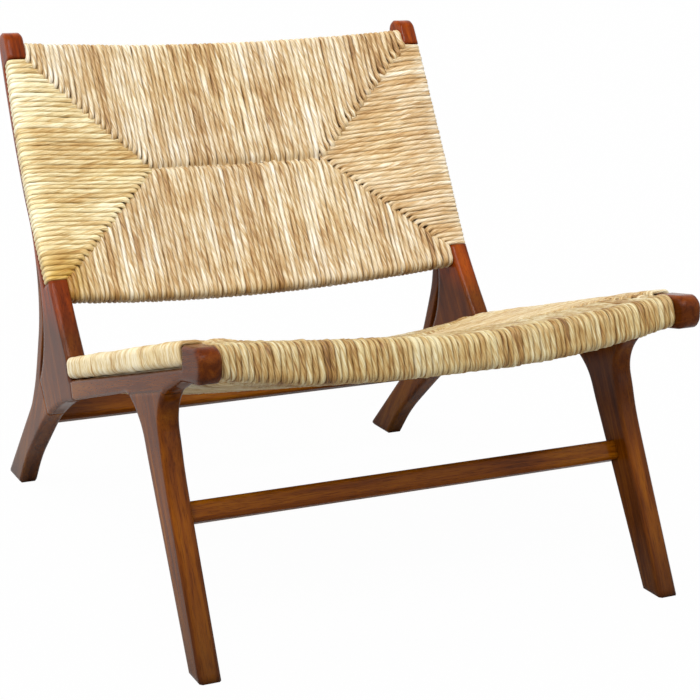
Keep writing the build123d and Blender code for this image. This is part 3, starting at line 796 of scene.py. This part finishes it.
class CHAIR_OT_timber(bpy.types.Operator):
    """Give every timber piece its lacquered grain, running along the piece"""
    bl_idname = "chair.timber"
    bl_label = "Lacquer the timber"

    def execute(self, context):
        for name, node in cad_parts.items():
            if name in (BACK_WEAVE.node, SEAT_WEAVE.node):
                continue
            timber = next((TIMBER[start] for start in TIMBER if name.startswith(start)),
                          CROSS_TIMBER)
            node.data.materials.clear()
            node.data.materials.append(once(timber[0], lacquered_timber, *timber[1:]))
        return {"FINISHED"}


class CHAIR_OT_back(bpy.types.Operator):
    """Wind the rush back: four sectors over the two rails and the two slotted posts"""
    bl_idname = "chair.back"
    bl_label = "Wind the back"

    def execute(self, context):
        settings = context.scene.chair_rush
        lay_weave(BACK_WEAVE, settings.back_rail, settings.back_bar, "back_stuffing", SEED)
        return {"FINISHED"}


class CHAIR_OT_seat(bpy.types.Operator):
    """Wind the rush seat: four sectors over the two bowed rails and the two slotted side rails"""
    bl_idname = "chair.seat"
    bl_label = "Wind the seat"

    def execute(self, context):
        settings = context.scene.chair_rush
        lay_weave(SEAT_WEAVE, settings.seat_rail, settings.seat_bar, "seat_stuffing", SEED + 1)
        return {"FINISHED"}


class CHAIR_OT_studio(bpy.types.Operator):
    """Set the pale floor, the soft light and the camera"""
    bl_idname = "chair.studio"
    bl_label = "Set the studio"

    def execute(self, context):
        settings = context.scene.chair_studio
        context.scene.view_settings.view_transform = "Standard"
        self.lay_floor(context.scene)
        self.fill_air(context.scene, settings.sky)
        for name, (size, tilt, heading) in LAMPS.items():
            lamp = bpy.data.lights.new(name, "SUN")
            lamp.energy = getattr(settings, name)
            lamp.angle = math.radians(size)
            source = bpy.data.objects.new(name, lamp)
            source.rotation_euler = (math.radians(tilt), 0, math.radians(heading))
            context.scene.collection.objects.link(source)
        self.set_camera(context.scene, settings)
        return {"FINISHED"}

    @staticmethod
    def lay_floor(scene):
        """One large square at floor height, which isn't part of the chair."""
        far = 60.0
        mesh = bpy.data.meshes.new("floor")
        mesh.from_pydata([(-far, -far, 0), (far, -far, 0), (far, far, 0), (-far, far, 0)],
                         [], [(0, 1, 2, 3)])
        floor = bpy.data.objects.new("floor", mesh)
        scene.collection.objects.link(floor)
        mesh.materials.append(studio_floor("pale studio floor"))

    @staticmethod
    def fill_air(scene, sky):
        """Even light, from 0.25 of `sky` level with the floor to 1.25 of it straight up.

        The camera, reflections and glass see plain white instead.
        """
        world = bpy.data.worlds.new("studio air")
        scene.world = world
        world.use_nodes = True
        world.node_tree.nodes.clear()
        node = partial(add, world.node_tree)
        path = node("LightPath")
        shiny = node("Math", {0: path["Is Glossy Ray"], 1: path["Is Transmission Ray"]},
                     operation="MAXIMUM")[0]
        seen = node("Math", {0: path["Is Camera Ray"], 1: shiny}, operation="MAXIMUM")[0]
        height = node("SeparateXYZ", {0: node("TexCoord")["Generated"]})[2]
        air = node("MapRange", {0: height, "To Min": 0.25 * sky, "To Max": 1.25 * sky})[0]
        level = node("MapRange", {0: seen, "To Min": air, "To Max": 1.0})[0]
        light = node("Background", {"Color": linear("#FFFFFF"), "Strength": level})[0]
        node("OutputWorld", {"Surface": light})

    @staticmethod
    def set_camera(scene, settings):
        """Camera at its place, rolled round its own axis and then turned."""
        data = bpy.data.cameras.new("camera")
        data.sensor_width = 36
        data.lens = settings.lens
        data.clip_end = 200
        camera = bpy.data.objects.new("camera", data)
        roll = Matrix.Rotation(settings.camera_roll, 3, "Z")
        turn = Euler(settings.camera_turn, "XYZ").to_matrix() @ roll
        camera.matrix_world = Matrix.Translation(settings.camera_at) @ turn.to_4x4()
        scene.collection.objects.link(camera)
        scene.camera = camera


class CHAIR_PT_panel(bpy.types.Panel):
    """Lists the chair's steps and settings"""
    bl_label = "Chair"
    bl_idname = "CHAIR_PT_panel"
    bl_space_type = "VIEW_3D"
    bl_region_type = "UI"
    bl_category = "Chair"

    def draw(self, context):
        for step in STEPS:
            self.layout.operator(step.bl_idname)
        for key, group in GROUPS.items():
            for name in group.__annotations__:
                self.layout.prop(getattr(context.scene, key), name)


STEPS = (CHAIR_OT_timber, CHAIR_OT_back, CHAIR_OT_seat, CHAIR_OT_studio)


def register():
    for item in (*GROUPS.values(), *STEPS, CHAIR_PT_panel):
        bpy.utils.register_class(item)
    for key, group in GROUPS.items():
        setattr(bpy.types.Scene, key, bpy.props.PointerProperty(type=group))


def unregister():
    for key in GROUPS:
        delattr(bpy.types.Scene, key)
    for item in reversed((*GROUPS.values(), *STEPS, CHAIR_PT_panel)):
        bpy.utils.unregister_class(item)


def main():
    """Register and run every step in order."""
    register()
    bpy.ops.chair.timber()
    bpy.ops.chair.back()
    bpy.ops.chair.seat()
    bpy.ops.chair.studio()


if __name__ == "__main__":
    main()
